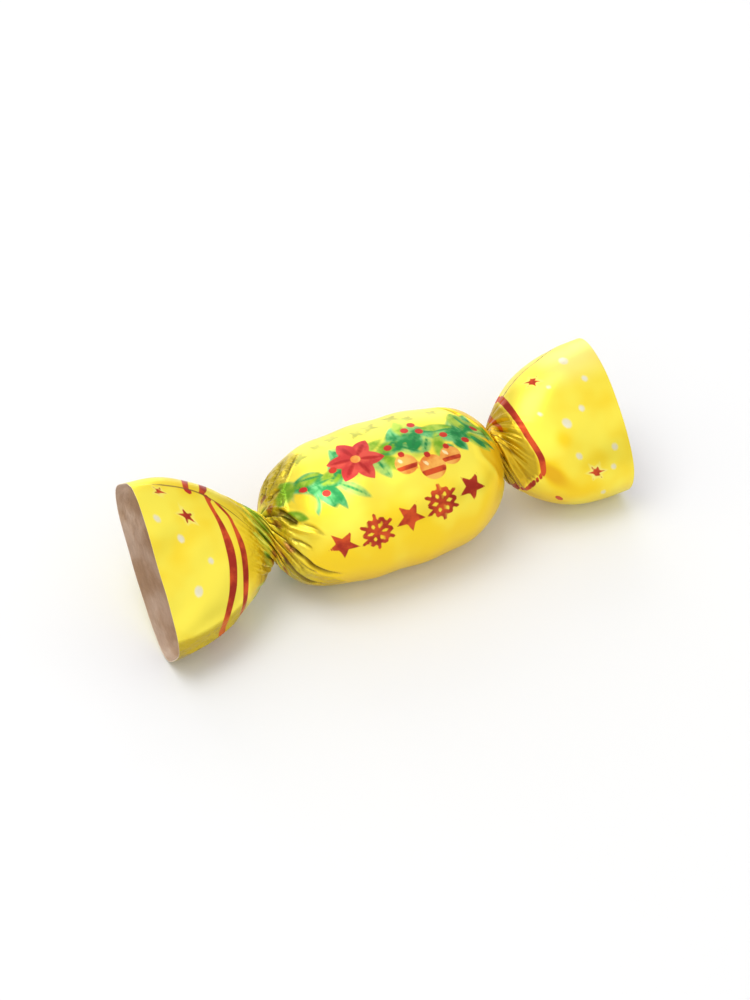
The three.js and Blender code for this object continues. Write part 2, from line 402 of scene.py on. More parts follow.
def film_points(x, wall=0.0, drawn_in=0.0):
    """Points of the film by row and column, and the part of the girth they lie at.

    Each row is a section at its columns' parts of the girth, moved in along the
    section's normal by the folds and the wall, then drawn in towards its middle.
    The pleats are pulled flat where the neck's ridge is stretched.
    """
    x = np.asarray(x, float)[:, None]
    sizes = section_sizes(x)
    place = column_place(x) + turns_along(x, SHOULDER_TWIST)
    angle = angles_of(sizes, place)
    y, z = outline(sizes, angle)
    step = 1e-3
    y_after, z_after = outline(sizes, angle + step)
    y_before, z_before = outline(sizes, angle - step)
    span = np.hypot(y_after - y_before, z_after - z_before)
    normal_y = (z_after - z_before) / span
    normal_z = -(y_after - y_before) / span
    smooth_points = np.stack([x + np.zeros_like(y), y + sizes["y"], z + sizes["z"]], axis=-1)
    stretched = np.exp(-((reach_line(smooth_points, NECK_RIDGE)[0] / RIDGE_PULLS) ** 2))
    folds = (pleat_relief(x) - fine_folds(x, place)) * (1 - stretched)
    inward = folds - soft_dents(x, place) - lap_step(x, place) + wall
    y = (y - normal_y * inward) * (1 - drawn_in)
    z = (z - normal_z * inward) * (1 - drawn_in)
    slant = end_value(x, "slant") * sizes["open"] * -z / end_value(x, "wide")
    slanted_x = x + np.where(x < 0, -1, 1) * slant
    points = np.stack([slanted_x, y + sizes["y"], np.maximum(0, z + sizes["z"])], axis=-1)
    return points, place


def hollow_points(end):
    """Rows of a fan's lining from its rim inwards; it closes as 1 - (1 - t^2.2)^(1/2)."""
    rim = end["neck"] + end["length"]
    t = np.append([0, RIM_STEP / end["length"]], np.arange(1, HOLLOW_ROWS - 1) / (HOLLOW_ROWS - 1))
    out = mix(rim, end["neck"] + end["length"] * HOLLOW_ENDS, t)
    return film_points(end["sign"] * out, FILM, (1 - np.sqrt(1 - t ** 2.2))[:, None])[0]


rows = row_places()
outside, place = film_points(rows)
row_x = rows[:, None]


# ------------------------------------------------------------------ the print
# The sheet is printed before it is wrapped: the same design twice round the
# girth. Each ink is kept on the film's points as the distance to its edge, in
# millimetres and negative inside, on the flat sheet's own u and v.

SHEET_HALF = 35.0  # from the middle of the sheet to its rims
REPEAT = GIRTH / 2  # of the design, round the girth
FAR = 9.0  # distance kept where there is no ink or line
EVEN_OVER = 6  # columns either way over which a pleat's lengths are evened out
FAN_SHEET_FROM = 13.2  # x, either way, where u begins to be counted from the rim
LEFT_SKEW = ((3.4, 0.56, 4), (0.6, 0.18, 24))  # millimetres, part of the girth and sharpness


def sheet_places(points, place):
    """u along the sheet and v round it for each point of the outside.

    On the body, u is the length of film from the middle along the smooth form.
    Past the necks it is counted back from the rim, evened out over half a pleat,
    and the left fan's sheet is pulled askew on its front.
    """
    steps = np.linalg.norm(np.diff(points, axis=0), axis=2)
    shifts = range(-EVEN_OVER, EVEN_OVER + 1)
    steps = sum(np.roll(steps, shift, axis=1) for shift in shifts) / len(shifts)
    passed = np.concatenate([np.zeros((1, COLUMNS)), np.cumsum(steps, axis=0)])
    side = np.sign(row_x)
    to_rim = np.where(side < 0, passed, passed[-1] - passed)
    body_x = np.linspace(0, 18, 1801)
    profile = section_sizes(body_x)["thin"]
    arc = np.concatenate([[0], np.cumsum(np.hypot(np.diff(body_x), np.diff(profile)))])
    from_middle = np.interp(np.abs(row_x), body_x, arc)
    on_fan = smooth((np.abs(row_x) - FAN_SHEET_FROM) / 1.5)
    skew = sum(size * facing(place, centre, power) for size, centre, power in LEFT_SKEW)
    fan_u = SHEET_HALF - to_rim - skew * (side < 0)
    return side * mix(from_middle, fan_u, on_fan), v_on_sheet(row_x, place)


sheet_u, sheet_v = sheet_places(outside, place)
inks = {}


def add_ink(name, distance):
    """Joins one more shape to an ink: the smaller distance wins."""
    inks[name] = np.minimum(inks.get(name, FAR), distance)


def near(centre):
    """Each point's v from a shape's centre, the short way round to the nearer repeat."""
    return (sheet_v - centre + REPEAT / 2) % REPEAT - REPEAT / 2


def turned(at, turn):
    """Each point's place from a shape's centre, on axes turned by so many degrees."""
    u, v = sheet_u - at[0], near(at[1])
    cos, sin = math.cos(math.radians(turn)), math.sin(math.radians(turn))
    return u * cos + v * sin, v * cos - u * sin


def spot(at, radius, other=None, turn=0.0):
    """Distance to a round or oval spot: (k - 1) times the smaller radius, k scaled to 1 on its edge."""
    a, b = turned(at, turn)
    other = other or radius
    return (np.hypot(a / radius, b / other) - 1) * min(radius, other)


def leaf(at, long, wide, turn):
    """Distance to a pointed leaf of half sizes long and wide: |b| - wide (1 - (a / long)^2)."""
    a, b = turned(at, turn)
    return np.abs(b) - wide * (1 - (a / long) ** 2)


def nearest_arm(at, arms, turn):
    """Each point's place along the nearest of so many even arms, and off that arm."""
    a, b = turned(at, turn)
    wedge = math.pi / arms
    angle = np.abs((np.arctan2(b, a) + wedge) % (2 * wedge) - wedge)
    radius = np.hypot(a, b)
    return radius * np.cos(angle), radius * np.sin(angle)


def star(at, reach, waist, arms=5, turn=0.0):
    """Distance to a star: to the straight line from tip to waist in each half arm."""
    along, off = nearest_arm(at, arms, turn)
    wedge = math.pi / arms
    edge = np.array([waist * math.cos(wedge) - reach, waist * math.sin(wedge)])
    edge /= np.linalg.norm(edge)
    return (along - reach) * edge[1] - off * edge[0]


def snow_crystal(at, reach, thick, turn=0.0):
    """Distance to six arms with a pair of barbs each, drawn with lines of one thickness.

    A barb leaves its arm half way out, at 60 degrees, and is 0.42 of it long.
    """
    along, off = nearest_arm(at, 6, turn)
    arm = np.hypot(np.maximum(along - reach, 0), off)
    cos, sin = 0.5, 0.866  # of 60 degrees
    from_root = along - 0.5 * reach
    up_barb = np.clip(from_root * cos + off * sin, 0, 0.42 * reach)
    barb = np.hypot(from_root - cos * up_barb, off - sin * up_barb)
    return np.minimum(arm, barb) - thick / 2


def away_from(at, distance, turn):
    """Place so far from another one, in a direction given in degrees."""
    angle = math.radians(turn)
    return at[0] + distance * math.cos(angle), at[1] + distance * math.sin(angle)


# A garland of leaves hangs in three swags, with a rosette of petals where the
# first two meet and three baubles where the last two do.
SWAGS = (
    # u and v of both ends, how far it hangs, and how many pairs of leaves
    ((-11.4, -3.2), (-3.4, -2.8), 2.9, 9),
    ((-3.0, -2.8), (4.2, -4.2), 1.9, 7),
    ((4.4, -4.2), (11.6, -4.4), 3.1, 9),
)
# A number from 0 to 1 picks each leaf's ink by the end of the ink's share. Leaves
# of the last two have a dark midrib.
LEAF_INKS = (("fringe", 0.15), ("moss", 0.36), ("pale_green", 0.68), ("green", 1.0))
MIDRIBS_FROM = 0.36
leaf_numbers = number_stream(41)
for start, stop, hang, pairs in SWAGS:
    for index in range(pairs):
        t = (index + 0.5) / pairs
        stem = mix(start[0], stop[0], t), mix(start[1], stop[1], t) + hang * math.sin(math.pi * t)
        fall = stop[1] - start[1] + hang * math.pi * math.cos(math.pi * t)
        slope = math.degrees(math.atan2(fall, stop[0] - start[0]))
        for side in (-1, 1):
            turn = slope + side * mix(36, 72, next(leaf_numbers))
            long = mix(1.3, 2.4, next(leaf_numbers))
            at = away_from(stem, mix(1.0, 2.2, next(leaf_numbers)), turn)
            wide = mix(0.6, 1.0, next(leaf_numbers))
            kind = next(leaf_numbers)
            ink = next(name for name, share in LEAF_INKS if kind < share)
            add_ink(ink, leaf(at, long, wide, turn))
            if kind > MIDRIBS_FROM:
                add_ink("deep_green", leaf(at, 0.8 * long, 0.17, turn))
        add_ink("green" if index % 3 else "pale_green", spot(stem, 0.9, 0.6, slope))
BERRIES = (
    (-9.9, -0.9), (-7.9, 0.7), (-6.1, -1.9), (0.6, -2.2), (7.2, -1.9), (9.3, -0.6), (11.2, -3.0),
    (3.4, -3.9), (4.5, -4.6), (4.9, -3.3),
)
for at in BERRIES:
    add_ink("berry", spot(at, 0.46))

ROSETTE_AT = (-3.3, -2.1)
PETALS = 6
for index in range(PETALS):
    turn = 360 * index / PETALS + 14
    at = away_from(ROSETTE_AT, 1.55, turn)
    add_ink("rose", leaf(at, 1.7, 0.95, turn))
    add_ink("rose_vein", leaf(at, 1.25, 0.24, turn))
add_ink("orange", spot(ROSETTE_AT, 0.55))

BAUBLES = (((1.5, 0.6), 1.25), ((4.2, 1.8), 1.5), ((6.7, 1.1), 1.2))  # centre and radius
for at, radius in BAUBLES:
    bauble = spot(at, radius)
    belt = np.abs(near(at[1] + 0.35 * radius)) - 0.22 * radius
    add_ink("orange", bauble)
    add_ink("red", np.maximum(belt, bauble))
    add_ink("berry", spot((at[0], at[1] - radius * 1.05), 0.36, 0.42))
    add_ink("glint", leaf((at[0] - 0.38 * radius, at[1] - 0.4 * radius), 0.5, 0.2, 60))

# Pale sprigs of two leaves stand in a row behind the garland.
SPRIGS = 8
for index in range(SPRIGS):
    at = (-8.4 + 2.25 * index + 0.5 * math.sin(3 * index), -6.0 - 0.5 * (index % 3))
    for turn in (-50, 25 + 20 * (index % 2)):
        add_ink("olive", leaf(at, 1.15 + 0.3 * math.sin(5 * index + turn), 0.38, turn))

# A fringe of long leaves is printed where the left twist gathers the sheet, and
# single leaves at the ends of the body. A wavering, broken band of rust runs
# round where the left neck leaves the caramel.
END_LEAVES = (
    # ink, u and v, half length, half width and turn
    ("fringe", (-18.2, 11.0), 3.2, 2.0, 8), ("fringe", (-17.8, 15.6), 3.0, 1.7, 8),
    ("fringe", (-17.0, 20.4), 2.8, 1.9, 8), ("fringe", (-16.2, 25.0), 2.2, 1.6, 8),
    ("fringe", (-17.6, 7.0), 2.4, 1.5, 8), ("moss", (-17.6, 12.6), 2.1, 1.0, 8),
    ("moss", (-16.8, 17.9), 1.8, 0.9, 8), ("moss", (-18.6, 9.3), 1.7, 0.9, 8),
    ("moss", (-16.2, 22.9), 1.8, 0.9, 8), ("moss", (-11.9, 2.9), 1.35, 0.9, 25),
    ("gold", (-10.4, 1.0), 1.9, 1.1, 75), ("moss", (-11.3, -2.4), 1.6, 0.9, 80),
    ("moss", (10.9, -0.3), 1.7, 1.0, 55), ("deep_green", (10.8, -0.3), 1.2, 0.5, 55),
)
for ink, at, long, wide, turn in END_LEAVES:
    add_ink(ink, leaf(at, long, wide, turn))
add_ink("rust", np.abs(sheet_u + 14.1 + 0.3 * np.sin(sheet_v / 2)) - 0.55 * np.sin(1.3 * sheet_v + 1.5))

# Red stars and crystals of snow take turns in a row in front of the garland.
for index in range(5):
    u_at = -8.0 + 3.95 * index
    at = (u_at, 6.35 - 0.12 * u_at)
    if index % 2:
        add_ink("red", snow_crystal(at, 1.95, 0.42, turn=30))
    else:
        add_ink("red", star(at, 1.85, 0.8, turn=18))

# Both fans carry a pair of red stripes. Their distance from the rim changes a
# little round the fan, as the twist pulls the sheet askew; where the half width
# is below zero, the folds have swallowed the stripe.
STRIPES = (
    # side, then part of the girth, distance from the rim and half width
    (-1, ((0.0, 9.2, 0.6), (0.2, 9.4, 0.3), (0.25, 9.5, 0.3), (0.33, 9.75, 0.6), (0.445, 9.9, 0.6),
          (0.52, 8.8, 0.45), (0.7, 8.9, 0.6))),
    (-1, ((0.0, 11.4, 0.54), (0.18, 11.6, 0.5), (0.21, 10.4, 0.25), (0.26, 11.6, 0.25), (0.3, 11.7, 0.35),
          (0.34, 11.8, 0.54), (0.4, 11.9, 0.54), (0.5, 12.2, 0.45), (0.7, 11.4, 0.54))),
    (1, ((0.15, 12.4, 0.45), (0.34, 12.05, 0.46), (0.42, 11.3, 0.5), (0.47, 11.6, 0.42), (0.51, 13.2, 0.42),
         (0.56, 13.9, 0.42), (0.62, 14.5, 0.42), (0.8, 12.8, 0.45))),
    (1, ((0.12, 15.3, 0.5), (0.25, 15.4, 0.5), (0.3, 15.4, -0.5), (0.55, 15.1, -0.5), (0.6, 15.1, 0.5),
         (0.9, 14.9, 0.5))),
)
LAP_SHIFT = 2.35  # the left stripes don't meet where the sheet overlaps
LAP_SHIFT_FADES = 25.0  # over so many millimetres round the sheet
# The dark line along the sheet's edge is painted shade.
LEFT_LAP_HALF, RIGHT_LAP_HALF = 0.16, 0.2  # half width of the dark line along the sheet's edge
GIRTH_STEPS = 600


def round_girth(places):
    """Value at each part of the girth: straight between the places, then a running mean."""
    fine = np.arange(GIRTH_STEPS) / GIRTH_STEPS
    straight = np.interp(fine, *zip(*places), period=1)
    weights = np.hanning(27)
    thrice = np.convolve(np.tile(straight, 3), weights / weights.sum(), "same")
    return np.interp(place % 1, fine, thrice[GIRTH_STEPS:2 * GIRTH_STEPS], period=1)


left_rim_distance = SHEET_HALF + sheet_u
right_rim_distance = SHEET_HALF - sheet_u
past = past_lap(row_x, place)
shifted = LAP_SHIFT * np.clip(1 - past / LAP_SHIFT_FADES, 0, 1)
for side, places in STRIPES:
    from_rim = left_rim_distance + shifted if side < 0 else right_rim_distance
    at = round_girth([row[:2] for row in places])
    half = round_girth([row[::2] for row in places])
    add_ink("red", np.abs(from_rim - at) - half)


def on_fan_sheet(side, rim, v):
    """u and v of a place on a fan, from its distance to the rim and its v."""
    return side * (SHEET_HALF - rim), v


# A few small stars with a pale edge, two berries and flakes of snow are strewn
# over the fans.
FAN_STARS = (
    # side, distance from the rim, v, reach and turn
    (-1, 5.5, 23.3, 1.2, 40), (-1, 3.5, 20.7, 0.85, 10), (1, 8.3, 25.8, 1.15, 25), (1, 4.7, 39.0, 1.2, 55),
)
for side, rim, v, reach, turn in FAN_STARS:
    at = on_fan_sheet(side, rim, v)
    arms = 5 if side < 0 else 6
    add_ink("red", star(at, reach, 0.30 * reach, arms, turn))
    add_ink("halo", star(at, 1.2 * reach, 0.6 * reach, arms, turn))
add_ink("red", spot(on_fan_sheet(1, 9.4, 44.5), 0.55))
for rim, v in ((7.1, 19.6), (9.5, 19.3)):
    add_ink("berry", spot(on_fan_sheet(-1, rim, v), 0.45, 0.55))
FLAKES = (
    # side, distance from the rim, v, half width
    (-1, 1.8, 24.0, 0.34), (-1, 3.8, 26.1, 0.38), (-1, 6.9, 28.5, 0.34), (-1, 5.1, 32.1, 0.52),
    (1, 3.9, 24.3, 0.50), (1, 2.7, 27.4, 0.32), (1, 4.4, 30.9, 0.33), (1, 9.3, 31.1, 0.26),
    (1, 6.7, 32.5, 0.52), (1, 7.0, 27.4, 0.20), (1, 1.9, 36.2, 0.36), (1, 6.4, 36.8, 0.36),
    (1, 2.5, 38.6, 0.30), (1, 3.9, 42.2, 0.30),
)
for side, rim, v, radius in FLAKES:
    add_ink("snow", spot(on_fan_sheet(side, rim, v), radius, radius * 1.25))


# ------------------------------------------------------------- creases pulled in
# The twist pulls single creases and ridges into the ends of the body, the right
# neck and the left fan. Each runs straight between its places, given by x and by
# degrees round from the back.

CREASES = (
    # width, height, half width of its painted shade line if it has one, then x and degrees of its places
    (0.34, -0.44, 0.19, ((-13.1, 142), (-12.8, 152), (-12.4, 158), (-11.7, 167), (-11.1, 177), (-10.3, 184),
                         (-9.5, 189), (-8.3, 192))),
    (0.22, -0.12, 0.05, ((-12.2, 174), (-11.5, 182), (-10.8, 186))),
    (0.34, -0.44, 0.38, ((-13.4, 179), (-13.0, 188), (-12.7, 195), (-12.1, 201), (-11.4, 206),
                         (-9.8, 211))),
    (0.40, -0.44, 0.27, ((-12.8, 97), (-12.5, 104), (-12.2, 113), (-11.9, 121), (-11.6, 125))),
    (0.38, 0.34, 0, ((-12.8, 106), (-12.3, 124), (-11.6, 132), (-10.8, 138), (-9.7, 142))),
    (0.26, -0.14, 0.07, ((-11.1, 128), (-10.4, 134), (-9.6, 144))),
    (0.30, -0.26, 0.10, ((-12.6, 140), (-11.9, 145), (-11.0, 153))),
    (0.26, -0.20, 0.10, ((-13.4, 92), (-13.3, 108), (-13.2, 128))),
    (0.34, -0.22, 0.04, ((-8.2, 57), (-8.6, 60), (-9.4, 65), (-10.0, 69), (-10.5, 71))),
    (0.30, -0.26, 0.06, ((-9.6, 48), (-10.6, 57), (-11.4, 60), (-12.1, 64), (-12.8, 65))),
    (0.28, -0.24, 0.10, ((-11.6, 78), (-12.0, 75), (-12.5, 74), (-12.9, 72))),
    (0.26, -0.20, 0.04, ((-11.6, 47), (-12.1, 51), (-12.7, 53), (-13.1, 58))),
    (0.26, -0.20, 0.02, ((-11.0, 36), (-11.8, 40), (-12.6, 43), (-13.1, 50))),
    (0.26, 0.16, 0, ((-10.2, 62), (-11.2, 66), (-12.0, 69), (-12.8, 69))),
    (0.26, 0.16, 0, ((-10.8, 80), (-11.7, 84), (-12.6, 83))),
    (0.30, -0.30, 0.13, ((8.7, 49), (9.6, 57), (10.4, 70), (11.3, 80), (12.0, 94), (12.1, 116))),
    (0.46, 0.46, 0, NECK_RIDGE),
    (0.50, 0.20, 0, ((-27.5, 197), (-25.6, 194), (-24.0, 192), (-22.2, 190), (-20.0, 189))),
    (0.40, -0.10, 0.06, ((-27.4, 201), (-25.5, 198), (-24.0, 196), (-22.4, 194), (-21.0, 192))),
    (0.60, 0.10, 0, ((10.3, 80), (10.2, 107), (10.0, 124), (10.9, 138), (11.6, 155))),
)


def press_crease(points, places, width, height):
    """Height of one crease or ridge along a line of places, with a low lip on both sides.

    Across it, with q = (distance / width)^2: height (1 - 1.2 q) exp(-q). Along
    it the height rises over the first tenth and dies away over the last fifth.
    Also gives the distance to the line and that taper.
    """
    distance, along = reach_line(points, places)
    q = (distance / width) ** 2
    taper = smooth(along / 0.12 + 0.3) * smooth((1 - along) / 0.2 + 0.1)
    return height * (1 - 1.2 * q) * np.exp(-q) * taper, distance, taper


def normals_of(points):
    """Outward normals of the rows and columns: the step round crossed with the step along."""
    around = np.roll(points, -1, axis=1) - np.roll(points, 1, axis=1)
    normal = np.cross(around, np.gradient(points, axis=0))
    return normal / np.linalg.norm(normal, axis=-1, keepdims=True)


crease_height = np.zeros(outside.shape[:2])
# Distance to the creases' dark lines of painted shade.
crease_shade_line = np.full(outside.shape[:2], FAR)
for width, height, line_half, places in CREASES:
    crease, distance, taper = press_crease(outside, places, width, height)
    crease_height += crease
    if line_half:
        crease_shade_line = np.minimum(crease_shade_line, distance - line_half * (1.4 * taper - 0.4))
outside = outside + normals_of(outside) * crease_height[..., None]
outside[..., 2] = np.maximum(0, outside[..., 2])

# Painted shade lies as a thin dark line along the sheet's lapped edge on both
# fans. lap_side is the distance past the edge. lap_rest is the line's half width,
# negative, and FAR where the edge isn't near, because lap_side jumps from 3 to -3
# on the far side.
lap_side = np.clip((past + GIRTH / 2) % GIRTH - GIRTH / 2, -3, 3)
left_half = LEFT_LAP_HALF * smooth((-row_x - 16) / 1.5) * smooth((row_x + 26.5) / 2)
right_half = RIGHT_LAP_HALF * smooth((row_x - 16) / 0.5) * smooth((24.6 - row_x) / 0.5)
lap_rest = np.where(np.minimum(past, GIRTH - past) < 2, -left_half - right_half, FAR)


# ---------------------------------------------------------- painted shade and light on the film
# Painted shade darkens the film in its folds and where it is gathered, and makes it
# more golden low down and in the twists; a painted highlight pales the top of the
# right fan. Each of these is one number for each point.

height_z = outside[..., 2]
from_neck = np.abs(row_x) - end_value(row_x, "neck")
# Painted shade in the valleys of the pleats and of the small folds.
shade = np.clip(pleat_relief(row_x) / 0.66 - fine_folds(row_x, place) / 0.4, 0, 1)

# Left end: painted shade where the film is gathered, on the body as far as the
# cap's edge and on the fan for some millimetres, and painted shade along the
# fan's underside.
degrees_round = np.degrees(np.arctan2(height_z - section_sizes(row_x)["z"], outside[..., 1])) % 360
LEFT_CAP = (
    # degrees from the back, and x where the gathered film of the left end begins
    (0, -11.6), (25, -10.2), (42, -8.3), (60, -8.3), (67, -9.3), (75, -10.4), (82, -11.3), (92, -11.5),
    (110, -11.9), (140, -12.2), (165, -12.2), (186, -11.4), (194, -8.9), (204, -7.6), (230, -8.0),
    (262, -10.6), (300, -11.6),
)
left_edge = np.interp(degrees_round, *zip(*LEFT_CAP), period=360)
towards_top = 1 + 0.4 * facing(degrees_round / 360, 0.19, 5)
left_cap = (0.25 + 0.53 * smooth((-from_neck - 0.1) / 0.8)) * towards_top
left_cap = left_cap * smooth((left_edge - row_x) / 1.2 + 0.5)
left_ribs = 0.25 + 0.45 * smooth((from_neck - 1.2) / 1.2)
left_ribs = left_ribs * np.exp(-((np.maximum(from_neck - 2.4, 0) / 2.4) ** 2))
left_underside_shade = 1.4 * smooth((place % 1 - 0.482) / 0.02) * smooth((0.68 - place % 1) / 0.08)
left_underside_shade = left_underside_shade * smooth((-row_x - 18) / 3)
on_left = np.maximum(np.where(from_neck < 0, left_cap, left_ribs), left_underside_shade)

# Right end: painted shade on a narrow cap on the body, and on the fan's ribs as
# far as its outer stripe, but not where the neck's ridge is taut.
OUTER_STRIPE = STRIPES[2][1]  # its places on the right fan
cap_edge = 10.1 + 1.2 * smooth((place - 0.34) / 0.08)
right_cap = 0.9 * smooth((row_x - cap_edge) / 0.4) * smooth((0.47 - place % 1) / 0.05)
right_cap = right_cap * smooth(-from_neck / 0.5)
ribs_from = round_girth([row[:2] for row in OUTER_STRIPE]) + 0.35
right_ribs = 1.1 * smooth((right_rim_distance - ribs_from) / 0.5) * smooth(from_neck / 0.5 + 1)
taut = np.exp(-((reach_line(outside, NECK_RIDGE)[0] / 0.5) ** 2))
on_right = np.where(from_neck < 0, 0.1 * right_cap, 1.1 * right_ribs) * (1 - 0.8 * taut)

# Painted shade where the film is gathered; the same number also makes it glossier.
gathered = np.where(row_x < 0, on_left, on_right)
crumpled = np.where(row_x < 0, on_left, 0.45 * right_ribs)

AMBER_PATCHES = (
    # distance from the right rim, v, reach and strength of patches in a deeper yellow
    (10.4, 40.2, 2.0, 2.2), (7.6, 34.7, 1.2, 0.9), (4.0, 36.9, 1.3, 0.6), (6.3, 38.6, 1.5, 0.6),
    (7.4, 41.5, 1.8, 0.6),
)
amber_patches = sum(
    strength * np.exp(-(((right_rim_distance - rim) / reach) ** 2) - (near(v) / reach) ** 2)
    for rim, v, reach, strength in AMBER_PATCHES
)
# Painted shade: more golden low down on the body, round the left neck and low on the right fan, added to
# the shade of the right cap and ribs; the right fan also has patches of deeper yellow.
body_low_shade = smooth((-from_neck - 0.5) / 3) * smooth((13.5 - height_z) / 6)
left_neck_shade = 0.9 * np.exp(-(((row_x + 16.6) / 2.0) ** 2))
right_low_shade = 1.2 * smooth((row_x - 14) / 2) * smooth((10.5 - height_z) / 7) * smooth((27 - row_x) / 8)
fan_gold = np.maximum(0.5 * right_low_shade + amber_patches * smooth(from_neck), 1.5 * right_ribs)
left_gold = np.maximum(body_low_shade, left_neck_shade)
right_gold = np.maximum(body_low_shade + 1.3 * right_cap, fan_gold)
golden_shade_and_patches = np.where(row_x < 0, left_gold, right_gold)
# Painted highlight: paler towards the top of the right fan.
painted_top_light = smooth((height_z - 14.0) / 3) * smooth((row_x - 18) / 4)

# ------------------------------------------------------ one closed skin of film
# The printed outside and the bare linings of both mouths are one skin of rows,
# from the inner end of the left hollow to that of the right one. A ring of
# triangles round a single point closes it at both inner ends.

rings = np.concatenate([hollow_points(LEFT)[::-1], outside, hollow_points(RIGHT)])
tips = []
for end in (LEFT, RIGHT):
    tip_x = end["sign"] * (end["neck"] + end["length"] * HOLLOW_ENDS)
    tip = section_sizes(np.array([tip_x]))
    tips.append((tip_x, float(tip["y"][0]), float(tip["z"][0])))
points = np.concatenate([rings.reshape(-1, 3), np.array(tips)]) * MM
row_count = len(rings)
corner = np.arange((row_count - 1) * COLUMNS).reshape(row_count - 1, COLUMNS)
beside = np.roll(corner, -1, axis=1)
quads = np.stack([corner, beside, beside + COLUMNS, corner + COLUMNS], axis=-1).reshape(-1, 4)
first = np.arange(COLUMNS)
last = first + (row_count - 1) * COLUMNS
left_tip, right_tip = len(points) - 2, len(points) - 1
left_end = np.stack([np.full(COLUMNS, left_tip), np.roll(first, -1), first], axis=-1)
right_end = np.stack([np.full(COLUMNS, right_tip), last, np.roll(last, -1)], axis=-1)
faces = quads.tolist() + left_end.tolist() + right_end.tolist()

film_mesh = bpy.data.meshes.new("wrapper")
film_mesh.from_pydata(points.tolist(), [], faces)
film_mesh.polygons.foreach_set("use_smooth", np.ones(len(faces), bool))
band = np.arange(len(faces)) // COLUMNS
printed = (band >= HOLLOW_ROWS) & (band < HOLLOW_ROWS + ROWS - 1)
film_mesh.polygons.foreach_set("material_index", np.where(printed, 0, 1).astype(np.int32))


def keep_on_points(name, values, inside):
    """Stores one number for each point; the linings and tips take the inside value."""
    lining = np.full(HOLLOW_ROWS * COLUMNS, inside)
    filled = np.concatenate([lining, values.ravel(), lining, np.full(len(tips), inside)])
    attribute = film_mesh.attributes.new(name, "FLOAT", "POINT")
    attribute.data.foreach_set("value", filled.astype(np.float32))


tones = dict(shade=shade, gathered=gathered, crumpled=crumpled, golden_shade_and_patches=golden_shade_and_patches, painted_top_light=painted_top_light)
for name, distance in dict(inks, crease_shade_line=crease_shade_line, lap_rest=lap_rest).items():
    keep_on_points(name, distance, FAR)
for name, tone in tones.items():
    keep_on_points(name, tone, 0.0)
keep_on_points("lap_side", lap_side, 3.0)
film_mesh.update()
wrapper = bpy.data.objects.new("wrapper", film_mesh)
bpy.context.scene.collection.objects.link(wrapper)

# ----------------------------------------------------------------- the finishes
# The film is thin metallised plastic. Outside, its print lets the metal shine
# through in a soft gloss; inside it is bare and looks grey-brown.


def new_material(name):
    """A material with its Principled shader, and the material's tree of nodes."""
    material = bpy.data.materials.new(name)
    material.use_nodes = True
    return material, material.node_tree


def read_number(tree, name):
    """Node that gives one of the numbers kept on the film's points."""
    node = tree.nodes.new("ShaderNodeAttribute")
    node.attribute_name = name
    return node.outputs["Fac"]


def ramp(tree, value, low, high, to_low=0.0, to_high=1.0):
    """Node that brings a value from one range to another, smoothly."""
    node = tree.nodes.new("ShaderNodeMapRange")
    node.interpolation_type = "SMOOTHSTEP"
    for socket, number in zip(("From Min", "From Max", "To Min", "To Max"), (low, high, to_low, to_high)):
        node.inputs[socket].default_value = number
    tree.links.new(value, node.inputs["Value"])
    return node.outputs["Result"]


def reckon(tree, operation, *values):
    """Math node of so many values, each a number or another node's output."""
    node = tree.nodes.new("ShaderNodeMath")
    node.operation = operation
    for socket, value in zip(node.inputs, values):
        if isinstance(value, float):
            socket.default_value = value
        else:
            tree.links.new(value, socket)
    return node.outputs["Value"]


def layer(tree, below, factor, above):
    """Node that lays one colour over another, each a plain colour or another node's output."""
    node = tree.nodes.new("ShaderNodeMix")
    node.data_type = "RGBA"
    tree.links.new(factor, node.inputs["Factor"])
    for socket, colour in (("A", below), ("B", above)):
        if isinstance(colour, tuple):
            node.inputs[socket].default_value = (*colour, 1.0)
        else:
            tree.links.new(colour, node.inputs[socket])
    return node.outputs["Result"]


def noise(tree, scale, detail, stretch=1.0):
    """Noise node on Object coordinates, with so many cells per metre, drawn out along the sweet."""
    place = tree.nodes.new("ShaderNodeTexCoord")
    mapping = tree.nodes.new("ShaderNodeMapping")
    mapping.inputs["Scale"].default_value = (1 / stretch, 1.0, 1.0)
    node = tree.nodes.new("ShaderNodeTexNoise")
    node.inputs["Scale"].default_value = scale
    node.inputs["Detail"].default_value = detail
    tree.links.new(place.outputs["Object"], mapping.inputs["Vector"])
    tree.links.new(mapping.outputs["Vector"], node.inputs["Vector"])
    return node.outputs["Fac"]


def bump(tree, height, strength, distance, below=None):
    """Normal of a relief with this height, over the normal of another one if there is one."""
    node = tree.nodes.new("ShaderNodeBump")
    node.inputs["Strength"].default_value = strength
    node.inputs["Distance"].default_value = distance
    tree.links.new(height, node.inputs["Height"])
    if below:
        tree.links.new(below, node.inputs["Normal"])
    return node.outputs["Normal"]
